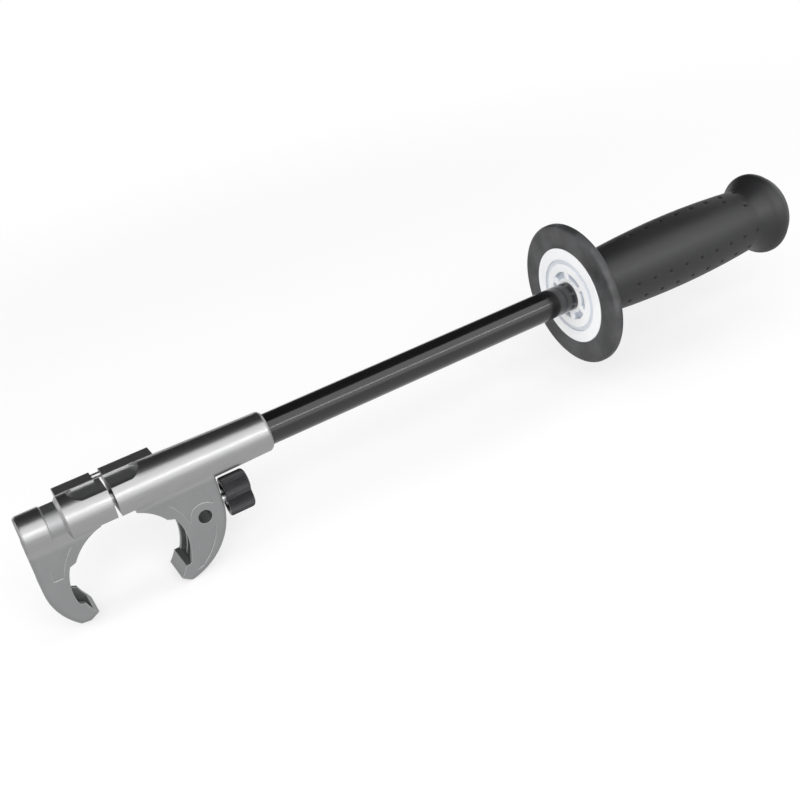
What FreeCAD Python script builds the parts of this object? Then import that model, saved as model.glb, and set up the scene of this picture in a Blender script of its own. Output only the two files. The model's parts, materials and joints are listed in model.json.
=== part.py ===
"""Long side handle for a heavy drill: two die-cast jaws, a steel pipe and a rubber grip.

Millimetres. The origin is the centre of the round tool collar that the jaws hold.
+X runs along the handle towards the grip, Y is the collar's axis, +Z is up and the
jaws hang below the handle. The draw stud turns with the grip and pulls the moving
jaw towards the fixed one, and a guide pin keeps the two jaws in line.
"""
import FreeCAD, Part
import math
import os

Vec = FreeCAD.Vector

# Collar and jaws
collar_r = 26.5
jaw_half_width = 9.5
jaw_relief_r = 28.8
jaw_gap = 1.8
jaw_end_x = 2.1
fixed_start_x = jaw_end_x + jaw_gap
jaw_edge_round = 3.0
throat_height = 5.4
axis_z = collar_r + throat_height
wall = 2.2

# Moving jaw
moving_body_r = 11.5
waist_r = 9.6
nose_r = 10.3
nose_length = 12.9
waist_length = 8.0
step_length = 1.7
nose_round = 2.2
nose_back_round = 1.2
moving_outer_x = 40.4
moving_tip_low = 18.4
moving_body_start_x = -19.3
waist_start_x = moving_body_start_x - waist_length
nose_start_x = waist_start_x - nose_length

# Fixed jaw and its sleeve
sleeve_gap_r = 11.75
sleeve_mouth_r = 10.2
sleeve_mouth_x = 82.3
sleeve_lip_length = 1.3
sleeve_lip_step = 0.5
fixed_outer_x = 50.4
fixed_outer_r = 32.3
fixed_tip_low = 22.3
fixed_tip_x = 25.0

# Flats and lugs on the back of both jaws
top_flat_height = 8.6
top_flat_half = 8.2
moving_flat_run = 16.8
fixed_flat_run = 15.8
pin_r = 1.5
pin_y = 15.0
pin_height = 6.5
pin_wall = 1.4
lug_front_y = 6.5
moving_lug_length = 18.3
moving_lug_inset = 2.7
fixed_lug_length = 24.8
lug_boss_r = pin_r + pin_wall
pin_left_x = -15.5
pin_right_x = 22.0

# Pipe and draw stud
pipe_r = 8.0
pipe_wall = 2.0
pipe_bore_r = pipe_r - pipe_wall
sleeve_clearance = 0.05
shoulder_x = 24.0
washer_thick = 1.2
wave_thick = 0.8
stud_r = 4.0
stud_clearance = 0.15
stud_tip_x = -38.0
stud_plug_length = 30.0
stud_pin_r = 1.5
stud_pin_inset = 15.0
thread_clearance = 0.05

# Draw nut and the rings that hold it
nut_flats = 13.0
nut_length = 8.0
nut_seat_x = -14.5
nut_play = 0.1
nose_bore_r = 7.7
ring_thick = 1.0
ring_groove_depth = 0.8
ring_bite = 1.6
stop_ring_r = 5.6
stop_ring_inset = 1.5
mouth_chamfer = 1.3

# Depth gauge bore and its thumb screw
gauge_r = 3.5
gauge_x = 39.4
gauge_z = 7.5
gauge_boss_r = 7.3
insert_r = 4.0
insert_length = 7.0
screw_r = 2.5
screw_tip_inset = 1.0
knob_gap = 3.6
knob_length = 12.0
knob_lobe_r = 5.2
knob_lobe_offset = 5.4
knob_waist_half = 4.1
knob_hub_r = 4.2
knob_ridges = 6
knob_ridge_depth = 0.35

# Grip
disc_x = 266.7
disc_r = 27.0
disc_thick = 4.2
flange_r = 39.7
flange_front = 0.4
flange_thick = 5.2
flange_round = 1.8
core_r = 13.5
core_length = 140.0
groove_inner_r = 18.5
groove_outer_r = 20.5
groove_depth = 0.8
pocket_inner_r = 10.0
pocket_outer_r = 13.7
pocket_depth = 2.6
pocket_count = 6
pocket_spoke = 2.6
notch_r = 0.7
notch_angle = -142.0
grip_neck_r = 17.0
grip_belly_r = 20.2
grip_waist_r = 17.9
grip_knob_r = 24.0
grip_length = 148.0
grip_belly = 70.0
grip_waist = 121.0
grip_knob = 137.5
pipe_end = 132.0
plug_length = 22.0
bolt_r = 4.0
bolt_length = 20.0
bolt_head_flats = 13.0
bolt_head_height = 5.3
grip_washer_r = 11.0
grip_washer_thick = 1.6
end_cap_r = 12.0
end_cap_thick = 3.0
end_cap_wall = 2.0
end_cap_chamfer = 0.6

# Mouth seal
seal_inset = 3.9
seal_section_r = 0.6
seal_play = 0.1
seal_x = sleeve_mouth_x - seal_inset
seal_ring_r = pipe_r + sleeve_clearance + seal_section_r


def point(x, z, y=0.0):
    return Vec(x, y, z)


def polar(radius, degrees):
    angle = math.radians(degrees)
    return point(radius * math.cos(angle), radius * math.sin(angle))


def line(a, b):
    return Part.LineSegment(a, b).toShape()


def arc(a, middle, b):
    return Part.Arc(a, middle, b).toShape()


def collar_arc(radius, start, end):
    return arc(polar(radius, start), polar(radius, (start + end) / 2.0), polar(radius, end))


def along_axis(radius, x0, x1, y=0.0, z=axis_z):
    """A round bar along X."""
    return Part.makeCylinder(radius, x1 - x0, Vec(x0, y, z), Vec(1, 0, 0))


def across(radius, half_length, x, z):
    """A round bar along Y."""
    return Part.makeCylinder(radius, 2.0 * half_length, Vec(x, -half_length, z), Vec(0, 1, 0))


def block(x0, x1, y0, y1, z0, z1):
    return Part.makeBox(x1 - x0, y1 - y0, z1 - z0, Vec(x0, y0, z0))


def slab(edges, half_width):
    """An outline in XZ made solid between two planes of Y."""
    face = Part.Face(Part.Wire(edges))
    face.translate(Vec(0, -half_width, 0))
    return face.extrude(Vec(0, 2.0 * half_width, 0))


def turned(edges):
    """A profile above the handle's axis, in XZ, turned all the way round it."""
    face = Part.Face(Part.Wire(edges))
    return face.revolve(Vec(0, 0, axis_z), Vec(1, 0, 0), 360.0)


def turned_points(points):
    """The same from straight stretches, each point as a place along X and a radius."""
    corners = [point(x, axis_z + radius) for x, radius in points]
    return turned([line(a, b) for a, b in zip(corners, corners[1:] + corners[:1])])


def hex_bar(flats, x0, x1):
    corner = flats / math.sqrt(3.0)
    corners = []
    for index in range(6):
        angle = math.radians(60.0 * index + 30.0)
        corners.append(Vec(x0, corner * math.cos(angle), axis_z + corner * math.sin(angle)))
    face = Part.Face(Part.makePolygon(corners + corners[:1]))
    return face.extrude(Vec(x1 - x0, 0, 0))


def sector(inner, outer, start, end, half_width, y=0.0):
    """A piece of a ring round the collar's axis."""
    edges = [
        collar_arc(outer, start, end),
        line(polar(outer, end), polar(inner, end)),
        collar_arc(inner, end, start),
        line(polar(inner, start), polar(outer, start)),
    ]
    piece = slab(edges, half_width)
    piece.translate(Vec(0, y, 0))
    return piece


def one_solid(shape):
    """The shape cleaned of seams between faces that lie on one surface."""
    clean = shape.removeSplitter()
    if len(clean.Solids) == 1:
        return clean.Solids[0]
    return clean


def round_side_edges(plate, half_width, radius, wanted):
    """Rounds the long edges of a plate's two sides that wanted() picks."""
    picked = []
    for edge in plate.Edges:
        middle = edge.valueAt((edge.FirstParameter + edge.LastParameter) / 2.0)
        on_side = all(abs(abs(v.Y) - half_width) < 0.01 for v in edge.Vertexes)
        if on_side and abs(abs(middle.y) - half_width) < 0.01 and wanted(middle):
            picked.append(edge)
    return plate.makeFillet(radius, picked)


# The open back of each jaw: a pocket with two long ribs and cross ribs
rib_half = 0.75
rib_y = 2.7
rib_drop = 1.5


def pocket(floor_r, start, end, cross_ribs):
    room = sector(collar_r - 4.0, floor_r, start, end, jaw_half_width - wall)
    rib_top = jaw_relief_r + rib_drop
    for y in (-rib_y, rib_y):
        room = room.cut(sector(rib_top, floor_r + 1.0, start - 2.0, end + 2.0, rib_half, y))
    for angle in cross_ribs:
        half_angle = math.degrees(rib_half / floor_r)
        rib = sector(rib_top, floor_r + 1.0, angle - half_angle, angle + half_angle, jaw_half_width)
        room = room.cut(rib)
    return room


# A panel let a little way into both side faces
panel_depth = 0.45


def panel_cut(edges):
    face = Part.Face(Part.Wire(edges))
    near = face.copy()
    near.translate(Vec(0, -jaw_half_width, 0))
    far = face.copy()
    far.translate(Vec(0, jaw_half_width, 0))
    return near.extrude(Vec(0, panel_depth, 0)).fuse(far.extrude(Vec(0, -panel_depth, 0)))


def top_flat(x_open, x_run, direction):
    """The flat milled on top, open at the jaws' gap and round where the cutter stopped."""
    end_x = x_open + direction * (x_run - top_flat_half)
    low = axis_z + top_flat_height
    cutter = Part.makeCylinder(top_flat_half, 10.0, Vec(end_x, 0, low))
    x0 = min(x_open - direction, end_x)
    x1 = max(x_open - direction, end_x)
    return cutter.fuse(block(x0, x1, -top_flat_half, top_flat_half, low, low + 10.0))


def lug(x0, x1):
    """The rail at the back that holds or guides the pin."""
    z = axis_z + pin_height
    boss = along_axis(lug_boss_r, x0, x1, pin_y, z)
    web = block(x0, x1, lug_front_y, pin_y, z - lug_boss_r, z + lug_boss_r)
    return boss.fuse(web)


def moving_jaw():
    outer_top = point(-moving_outer_x, axis_z)
    outer_side = point(-moving_outer_x, 8.0)
    outer_low = point(-30.5, -moving_tip_low + 0.6)
    tip_low = point(-25.8, -moving_tip_low)
    upper_start = 148.0
    upper_end = 104.0
    tip_start = 197.0
    tip_end = 217.0
    relief_start = 193.0
    relief_end = 153.0
    throat_x = collar_r * math.cos(math.radians(upper_end))
    edges = [
        line(outer_top, outer_side),
        arc(outer_side, point(-38.4, -6.2), outer_low),
        line(outer_low, tip_low),
        line(tip_low, polar(collar_r, tip_end)),
        collar_arc(collar_r, tip_end, tip_start),
        line(polar(collar_r, tip_start), polar(jaw_relief_r, relief_start)),
        collar_arc(jaw_relief_r, relief_start, relief_end),
        line(polar(jaw_relief_r, relief_end), polar(collar_r, upper_start)),
        collar_arc(collar_r, upper_start, upper_end),
        line(polar(collar_r, upper_end), point(throat_x, collar_r)),
        line(point(throat_x, collar_r), point(jaw_end_x, collar_r)),
        line(point(jaw_end_x, collar_r), point(jaw_end_x, axis_z)),
        line(point(jaw_end_x, axis_z), outer_top),
    ]
    plate = slab(edges, jaw_half_width)
    plate = round_side_edges(
        plate, jaw_half_width, jaw_edge_round,
        lambda p: p.z < 21.0 and (p.x < -32.0 or p.z < -17.0))
    plate = plate.cut(pocket(34.6, 156.0, 209.0, (168.0, 186.0)))
    panel = [
        collar_arc(31.2, 163.0, 134.0),
        line(polar(31.2, 134.0), polar(34.5, 138.0)),
        line(polar(34.5, 138.0), point(-34.5, 14.0)),
        line(point(-34.5, 14.0), point(-34.5, 9.4)),
        line(point(-34.5, 9.4), polar(31.2, 163.0)),
    ]
    plate = plate.cut(panel_cut(panel))

    barrel = turned_points([
        (waist_start_x - 2.0, 0.0), (waist_start_x - 2.0, waist_r),
        (moving_body_start_x - step_length, waist_r), (moving_body_start_x, moving_body_r),
        (jaw_end_x, moving_body_r), (jaw_end_x, 0.0)])
    front = nose_start_x
    back = waist_start_x
    top = axis_z + nose_r
    bend = 1.0 - math.sqrt(0.5)
    nose = turned([
        line(point(front, axis_z), point(front, top - nose_round)),
        arc(point(front, top - nose_round),
            point(front + nose_round * bend, top - nose_round * bend),
            point(front + nose_round, top)),
        line(point(front + nose_round, top), point(back - nose_back_round, top)),
        arc(point(back - nose_back_round, top),
            point(back - nose_back_round * bend, top - nose_back_round * bend),
            point(back, top - nose_back_round)),
        line(point(back, top - nose_back_round), point(back, axis_z)),
        line(point(back, axis_z), point(front, axis_z)),
    ])
    barrel = barrel.cut(top_flat(jaw_end_x, moving_flat_run, -1.0))
    throat = block(throat_x, jaw_end_x + 1.0, -15, 15, 0, collar_r)
    lug_right = jaw_end_x - moving_lug_inset
    rail = lug(lug_right - moving_lug_length, lug_right)
    low = axis_z + top_flat_height
    waist_flat = block(waist_start_x, moving_body_start_x - step_length, -waist_r, waist_r, low, low + waist_r)
    body = barrel.fuse([plate, rail]).cut(waist_flat).fuse(nose)
    body = body.cut([across(collar_r, 15.0, 0, 0), throat])

    hole = along_axis(stud_r + stud_clearance, nut_seat_x - 1.0, jaw_end_x + 1.0)
    ring_x = nut_seat_x - nut_length - nut_play
    hex_pocket = hex_bar(nut_flats + 2.0 * nut_play, ring_x, nut_seat_x)
    bore = along_axis(nose_bore_r, nose_start_x - 1.0, ring_x)
    groove = along_axis(nose_bore_r + ring_groove_depth, ring_x - ring_thick - nut_play, ring_x)
    mouth = turned_points([
        (nose_start_x - 0.5, 0.0), (nose_start_x - 0.5, nose_bore_r + mouth_chamfer + 0.4),
        (nose_start_x + mouth_chamfer, nose_bore_r), (nose_start_x + mouth_chamfer, 0.0)])
    pin_end = pin_left_x - 1.8
    guide = along_axis(pin_r + 0.06, pin_end, jaw_end_x, pin_y, axis_z + pin_height)
    return one_solid(body.cut([hole, hex_pocket, bore, groove, mouth, guide]))


def fixed_jaw():
    back_x = fixed_outer_x
    throat_angle = 67.0
    tooth_angle = 33.0
    tip_start = -28.5
    tip_end = -43.0
    relief_top = 27.0
    relief_low = -26.0
    throat_x = collar_r * math.cos(math.radians(throat_angle))
    centre_x = back_x - fixed_outer_r
    centre_z = math.sqrt(fixed_outer_r ** 2 - (fixed_tip_x - centre_x) ** 2) - fixed_tip_low
    bend_angle = math.atan2(-fixed_tip_low - centre_z, fixed_tip_x - centre_x) / 2.0
    outer_side = point(back_x, centre_z)
    outer_low = point(fixed_tip_x, -fixed_tip_low)
    outer_middle = point(centre_x + fixed_outer_r * math.cos(bend_angle),
                         centre_z + fixed_outer_r * math.sin(bend_angle))
    edges = [
        line(point(fixed_start_x, axis_z), point(fixed_start_x, collar_r)),
        line(point(fixed_start_x, collar_r), point(throat_x, collar_r)),
        line(point(throat_x, collar_r), polar(collar_r, throat_angle)),
        collar_arc(collar_r, throat_angle, tooth_angle),
        line(polar(collar_r, tooth_angle), polar(jaw_relief_r, relief_top)),
        collar_arc(jaw_relief_r, relief_top, relief_low),
        line(polar(jaw_relief_r, relief_low), polar(collar_r, tip_start)),
        collar_arc(collar_r, tip_start, tip_end),
        line(polar(collar_r, tip_end), outer_low),
        arc(outer_low, outer_middle, outer_side),
        line(outer_side, point(back_x, axis_z)),
        line(point(back_x, axis_z), point(fixed_start_x, axis_z)),
    ]
    plate = slab(edges, jaw_half_width)
    plate = round_side_edges(
        plate, jaw_half_width, jaw_edge_round,
        lambda p: p.x > 35.0 and p.z < 22.0)
    plate = plate.cut(pocket(34.6, -26.0, 27.0, (6.0,)))
    low_panel = [
        collar_arc(32.6, -33.0, 2.0),
        line(polar(32.6, 2.0), point(43.2, 1.2)),
        arc(point(43.2, 1.2), point(38.9, -8.6), point(30.9, -16.6)),
        line(point(30.9, -16.6), polar(32.6, -33.0)),
    ]
    high_panel = [
        line(polar(32.6, 40.0), point(43.6, 21.0)),
        arc(point(43.6, 21.0), point(45.2, 17.6), point(45.2, 13.0)),
        line(point(45.2, 13.0), point(36.0, 8.0)),
        line(point(36.0, 8.0), polar(32.6, 14.0)),
        collar_arc(32.6, 14.0, 40.0),
    ]
    panels = panel_cut(low_panel).fuse(panel_cut(high_panel))
    panels = panels.cut(across(gauge_boss_r, 12.0, gauge_x, gauge_z))
    plate = plate.cut(panels)

    lip_x = sleeve_mouth_x - sleeve_lip_length
    sleeve = turned_points([
        (fixed_start_x, 0.0), (fixed_start_x, sleeve_gap_r), (lip_x, sleeve_mouth_r),
        (sleeve_mouth_x - 0.5, sleeve_mouth_r - sleeve_lip_step),
        (sleeve_mouth_x, sleeve_mouth_r - sleeve_lip_step - 0.4), (sleeve_mouth_x, 0.0)])
    sleeve = sleeve.cut(top_flat(fixed_start_x, fixed_flat_run, 1.0))
    throat = block(fixed_start_x - 1.0, throat_x, -15, 15, 0, collar_r)
    rail = lug(fixed_start_x, fixed_start_x + fixed_lug_length)
    body = sleeve.fuse([plate, rail]).cut([across(collar_r, 15.0, 0, 0), throat])

    stud_hole = along_axis(stud_r + stud_clearance, fixed_start_x - 1.0, shoulder_x + 1.0)
    pipe_bore = along_axis(pipe_r + sleeve_clearance, shoulder_x, sleeve_mouth_x + 1.0)
    groove_half = seal_section_r + seal_play
    seal_groove = along_axis(seal_ring_r + groove_half, seal_x - groove_half, seal_x + groove_half)
    pin_hole = along_axis(pin_r, fixed_start_x - 1.0, pin_right_x, pin_y, axis_z + pin_height)
    gauge_hole = across(gauge_r, 12.0, gauge_x, gauge_z)
    insert_seat = along_axis(insert_r, fixed_outer_x - insert_length, fixed_outer_x + 1.0, 0, gauge_z)
    screw_hole = along_axis(screw_r + 0.2, gauge_x, fixed_outer_x, 0, gauge_z)
    return one_solid(body.cut(
        [stud_hole, pipe_bore, seal_groove, pin_hole, gauge_hole, insert_seat, screw_hole]))


def guide_pin():
    bar = along_axis(pin_r, pin_left_x, pin_right_x, pin_y, axis_z + pin_height)
    return bar.makeChamfer(0.4, [bar.Edges[0], bar.Edges[2]])


def draw_nut():
    x0 = nut_seat_x - nut_length
    body = hex_bar(nut_flats, x0, nut_seat_x)
    corner = nut_flats / math.sqrt(3.0)
    cone = turned_points([
        (x0, 0.0), (x0, corner - 0.9), (x0 + 0.5, corner), (nut_seat_x - 0.5, corner),
        (nut_seat_x, corner - 0.9), (nut_seat_x, 0.0)])
    return one_solid(body.common(cone).cut(
        along_axis(stud_r + thread_clearance, x0 - 1.0, nut_seat_x + 1.0)))


def split_ring(outer, inner, x0, gap_half):
    ring = along_axis(outer, x0, x0 + ring_thick).cut(along_axis(inner, x0 - 1.0, x0 + 2.0))
    return one_solid(ring.cut(block(x0 - 1.0, x0 + 2.0, -gap_half, gap_half, axis_z - 20.0, axis_z)))


def nut_ring():
    """The spring ring in the nose that keeps the nut in its pocket."""
    x1 = nut_seat_x - nut_length - nut_play
    return split_ring(nose_bore_r + ring_groove_depth - 0.1, nose_bore_r - ring_bite,
                      x1 - ring_thick - nut_play / 2.0, 2.2)


def stop_ring():
    """The snap ring that stops the nut before it runs off the stud."""
    return split_ring(stop_ring_r, stud_r - ring_groove_depth, stud_tip_x + stop_ring_inset, 1.6)


pipe_start_x = shoulder_x + washer_thick + wave_thick + 0.2


def draw_stud():
    plug_end = pipe_start_x + stud_plug_length
    groove_x = stud_tip_x + stop_ring_inset
    body = turned_points([
        (stud_tip_x, 0.0), (stud_tip_x, stud_r - 0.6), (stud_tip_x + 0.6, stud_r),
        (groove_x, stud_r), (groove_x, stud_r - ring_groove_depth),
        (groove_x + ring_thick, stud_r - ring_groove_depth), (groove_x + ring_thick, stud_r),
        (pipe_start_x, stud_r), (pipe_start_x, pipe_bore_r), (plug_end - 1.0, pipe_bore_r),
        (plug_end, pipe_bore_r - 1.0), (plug_end, 0.0)])
    hole_x = pipe_start_x + stud_pin_inset
    return one_solid(body.cut(Part.makeCylinder(
        stud_pin_r, 40.0, Vec(hole_x, 0, axis_z - 20.0), Vec(0, 0, 1))))


def stud_pin():
    """The slotted spring pin that ties the stud's plug to the pipe."""
    x = pipe_start_x + stud_pin_inset
    length = 2.0 * pipe_r - 0.6
    bar = Part.makeCylinder(stud_pin_r, length, Vec(x, 0, axis_z - length / 2.0), Vec(0, 0, 1))
    core = Part.makeCylinder(0.8, length + 2.0, Vec(x, 0, axis_z - length / 2.0 - 1.0), Vec(0, 0, 1))
    slot = block(x, x + 3.0, -0.25, 0.25, axis_z - length, axis_z + length)
    return one_solid(bar.cut([core, slot]))


def handle_pipe():
    end_x = disc_x + pipe_end
    tube = turned_points([
        (pipe_start_x, pipe_bore_r), (pipe_start_x, pipe_r - 0.5), (pipe_start_x + 0.5, pipe_r),
        (end_x, pipe_r), (end_x, pipe_bore_r)])
    hole = Part.makeCylinder(
        stud_pin_r, 40.0, Vec(pipe_start_x + stud_pin_inset, 0, axis_z - 20.0), Vec(0, 0, 1))
    return one_solid(tube.cut(hole))


def thrust_washer():
    return turned_points([
        (shoulder_x, stud_r + 0.2), (shoulder_x, pipe_r - 0.2),
        (shoulder_x + washer_thick, pipe_r - 0.2), (shoulder_x + washer_thick, stud_r + 0.2)])


def wave_washer():
    """The spring washer between the pipe's end and the thrust washer, pressed nearly flat."""
    x0 = shoulder_x + washer_thick
    outer = along_axis(pipe_r - 0.3, x0, x0 + wave_thick)
    ring = outer.cut(along_axis(stud_r + 1.0, x0 - 1.0, x0 + 3.0))
    for turn in range(3):
        for face_x, shift in ((x0 - 6.0 + 0.3, 0.0), (x0 + wave_thick + 6.0 - 0.3, 60.0)):
            angle = math.radians(120.0 * turn + shift)
            direction = Vec(0, math.cos(angle), math.sin(angle))
            ring = ring.cut(Part.makeCylinder(6.0, 12.0, Vec(face_x, 0, axis_z), direction))
    return one_solid(ring)


def mouth_seal():
    return Part.makeTorus(seal_ring_r, seal_section_r, Vec(seal_x, 0, axis_z), Vec(1, 0, 0))


def gauge_insert():
    x0 = fixed_outer_x - insert_length
    bush = along_axis(insert_r, x0, fixed_outer_x, 0, gauge_z)
    return one_solid(bush.cut(
        along_axis(screw_r + thread_clearance, x0 - 1.0, fixed_outer_x + 1.0, 0, gauge_z)))


knob_face_x = fixed_outer_x + knob_gap


def thumb_screw():
    tip_x = gauge_x + gauge_r + screw_tip_inset
    end_x = knob_face_x + knob_length - 2.5
    shank = along_axis(screw_r, tip_x, end_x, 0, gauge_z)
    return shank.makeChamfer(0.4, [shank.Edges[0], shank.Edges[2]])


def thumb_knob():
    """A two-lobed knob with a waist, ridges along its lobes and hollow ends."""
    r = knob_lobe_r
    d = knob_lobe_offset
    top = gauge_z + d
    low = gauge_z - d
    side = r * math.cos(math.radians(20.0))
    rise = r * math.sin(math.radians(20.0))

    def at(y, z):
        return Vec(knob_face_x, y, z)

    edges = [
        arc(at(side, top - rise), at(0, top + r), at(-side, top - rise)),
        arc(at(-side, top - rise), at(-knob_waist_half, gauge_z), at(-side, low + rise)),
        arc(at(-side, low + rise), at(0, low - r), at(side, low + rise)),
        arc(at(side, low + rise), at(knob_waist_half, gauge_z), at(side, top - rise)),
    ]
    body = Part.Face(Part.Wire(edges)).extrude(Vec(knob_length, 0, 0))
    outer_end = knob_face_x + knob_length - 0.01
    body = body.makeFillet(1.0, [edge for edge in body.Edges if edge.CenterOfMass.x > outer_end])
    for z in (top, low):
        body = body.cut(along_axis(r - 2.0, knob_face_x - 1.0, knob_face_x + 6.0, 0, z))
    hub = along_axis(knob_hub_r, knob_face_x - 1.0, knob_face_x + 6.0, 0, gauge_z)
    body = body.fuse(hub)
    for z, sign in ((top, 1.0), (low, -1.0)):
        for index in range(-knob_ridges, knob_ridges + 1):
            angle = math.radians(sign * 90.0 + 16.0 * index)
            groove = along_axis(knob_ridge_depth, knob_face_x - 1.0, knob_face_x + knob_length + 1.0,
                                r * math.cos(angle), z + r * math.sin(angle))
            body = body.cut(groove)
    return one_solid(body.cut(
        along_axis(screw_r + 0.02, knob_face_x - 2.0, knob_face_x + knob_length - 2.5, 0, gauge_z)))


def grip_core():
    """The white moulding: a disc, a tube and six pockets round the pipe."""
    end_x = disc_x + core_length
    pipe_x = disc_x + pipe_end
    washer_x = pipe_x + grip_washer_thick
    body = turned_points([
        (disc_x, pipe_r), (disc_x, groove_inner_r), (disc_x + groove_depth, groove_inner_r),
        (disc_x + groove_depth, groove_outer_r), (disc_x, groove_outer_r), (disc_x, disc_r),
        (disc_x + disc_thick, disc_r), (disc_x + disc_thick, core_r), (end_x, core_r),
        (end_x, end_cap_r), (pipe_x, end_cap_r), (pipe_x, pipe_r)])
    rooms = along_axis(pocket_outer_r, disc_x, disc_x + pocket_depth)
    rooms = rooms.cut(along_axis(pocket_inner_r, disc_x, disc_x + pocket_depth))
    spoke = block(disc_x, disc_x + pocket_depth, -pocket_spoke / 2.0, pocket_spoke / 2.0,
                  axis_z, axis_z + pocket_outer_r + 1.0)
    for index in range(pocket_count):
        turned_spoke = spoke.copy()
        turned_spoke.rotate(Vec(0, 0, axis_z), Vec(1, 0, 0), index * 360.0 / pocket_count)
        rooms = rooms.cut(turned_spoke)
    angle = math.radians(notch_angle)
    notch = along_axis(notch_r, disc_x, disc_x + disc_thick,
                       disc_r * math.sin(angle), axis_z + disc_r * math.cos(angle))
    return one_solid(body.cut([rooms, notch]))


def grip_cover():
    """The rubber: flange, barrel and end knob in one moulding over the core."""
    def at(s, radius):
        return point(disc_x + s, axis_z + radius)

    back = flange_front + flange_thick
    bend = 1.0 - math.sqrt(0.5)
    rim = flange_round
    end = grip_length
    neck_s = 13.0
    edges = [
        line(at(disc_thick, core_r), at(disc_thick, disc_r)),
        line(at(disc_thick, disc_r), at(flange_front, disc_r)),
        line(at(flange_front, disc_r), at(flange_front, flange_r - rim)),
        arc(at(flange_front, flange_r - rim),
            at(flange_front + rim * bend, flange_r - rim * bend),
            at(flange_front + rim, flange_r)),
        line(at(flange_front + rim, flange_r), at(back - rim, flange_r)),
        arc(at(back - rim, flange_r), at(back - rim * bend, flange_r - rim * bend),
            at(back, flange_r - rim)),
        line(at(back, flange_r - rim), at(back + 1.0, grip_neck_r + 6.0)),
        arc(at(back + 1.0, grip_neck_r + 6.0), at(back + 2.6, grip_neck_r + 1.9),
            at(neck_s, grip_neck_r)),
        arc(at(neck_s, grip_neck_r), at(grip_belly, grip_belly_r), at(grip_waist, grip_waist_r)),
        arc(at(grip_waist, grip_waist_r), at(grip_waist + 6.5, grip_waist_r + 1.6),
            at(grip_knob - 5.5, grip_knob_r - 1.6)),
        arc(at(grip_knob - 5.5, grip_knob_r - 1.6), at(grip_knob, grip_knob_r),
            at(grip_knob + 5.0, grip_knob_r - 2.4)),
        arc(at(grip_knob + 5.0, grip_knob_r - 2.4), at(end - 1.8, grip_knob_r - 9.0),
            at(end - 0.6, end_cap_r + 0.1)),
        line(at(end - 0.6, end_cap_r + 0.1), at(core_length, end_cap_r + 0.1)),
        line(at(core_length, end_cap_r + 0.1), at(core_length, core_r)),
        line(at(core_length, core_r), at(disc_thick, core_r)),
    ]
    return one_solid(turned(edges))


def pipe_insert():
    """The threaded steel plug pressed into the pipe's far end."""
    end_x = disc_x + pipe_end
    return turned_points([
        (end_x - plug_length, bolt_r + thread_clearance), (end_x - plug_length, pipe_bore_r),
        (end_x, pipe_bore_r), (end_x, bolt_r + thread_clearance)])


def grip_washer():
    x0 = disc_x + pipe_end
    return turned_points([
        (x0, bolt_r + 0.3), (x0, grip_washer_r), (x0 + grip_washer_thick, grip_washer_r),
        (x0 + grip_washer_thick, bolt_r + 0.3)])


def grip_bolt():
    seat_x = disc_x + pipe_end + grip_washer_thick
    head = hex_bar(bolt_head_flats, seat_x, seat_x + bolt_head_height)
    return one_solid(head.fuse(along_axis(bolt_r, seat_x - bolt_length, seat_x)))


def end_cap():
    """The plug that closes the grip's end over the bolt."""
    end_x = disc_x + grip_length
    start_x = disc_x + core_length
    inner_r = end_cap_r - end_cap_wall
    return turned_points([
        (end_x - end_cap_thick, 0.0), (end_x - end_cap_thick, inner_r), (start_x, inner_r),
        (start_x, end_cap_r), (end_x - end_cap_chamfer, end_cap_r),
        (end_x, end_cap_r - end_cap_chamfer), (end_x, 0.0)])


pieces = {
    "moving_jaw": moving_jaw,
    "draw_nut": draw_nut,
    "nut_ring": nut_ring,
    "fixed_jaw": fixed_jaw,
    "guide_pin": guide_pin,
    "thrust_washer": thrust_washer,
    "wave_washer": wave_washer,
    "mouth_seal": mouth_seal,
    "gauge_insert": gauge_insert,
    "thumb_screw": thumb_screw,
    "thumb_knob": thumb_knob,
    "handle_pipe": handle_pipe,
    "draw_stud": draw_stud,
    "stud_pin": stud_pin,
    "stop_ring": stop_ring,
    "grip_core": grip_core,
    "grip_cover": grip_cover,
    "pipe_insert": pipe_insert,
    "grip_washer": grip_washer,
    "grip_bolt": grip_bolt,
    "end_cap": end_cap,
}

os.makedirs("parts", exist_ok=True)
for name, make in pieces.items():
    shape = make()
    shape.exportStep("parts/" + name + ".step")
    print(name, len(shape.Solids), shape.isValid(), round(shape.Volume, 1))
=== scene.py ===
"""Looks of a long side handle for a heavy drill: finishes, moulded forms, light and camera."""
import json
import math

import bmesh
import bpy
from mathutils import Matrix, Vector


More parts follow.
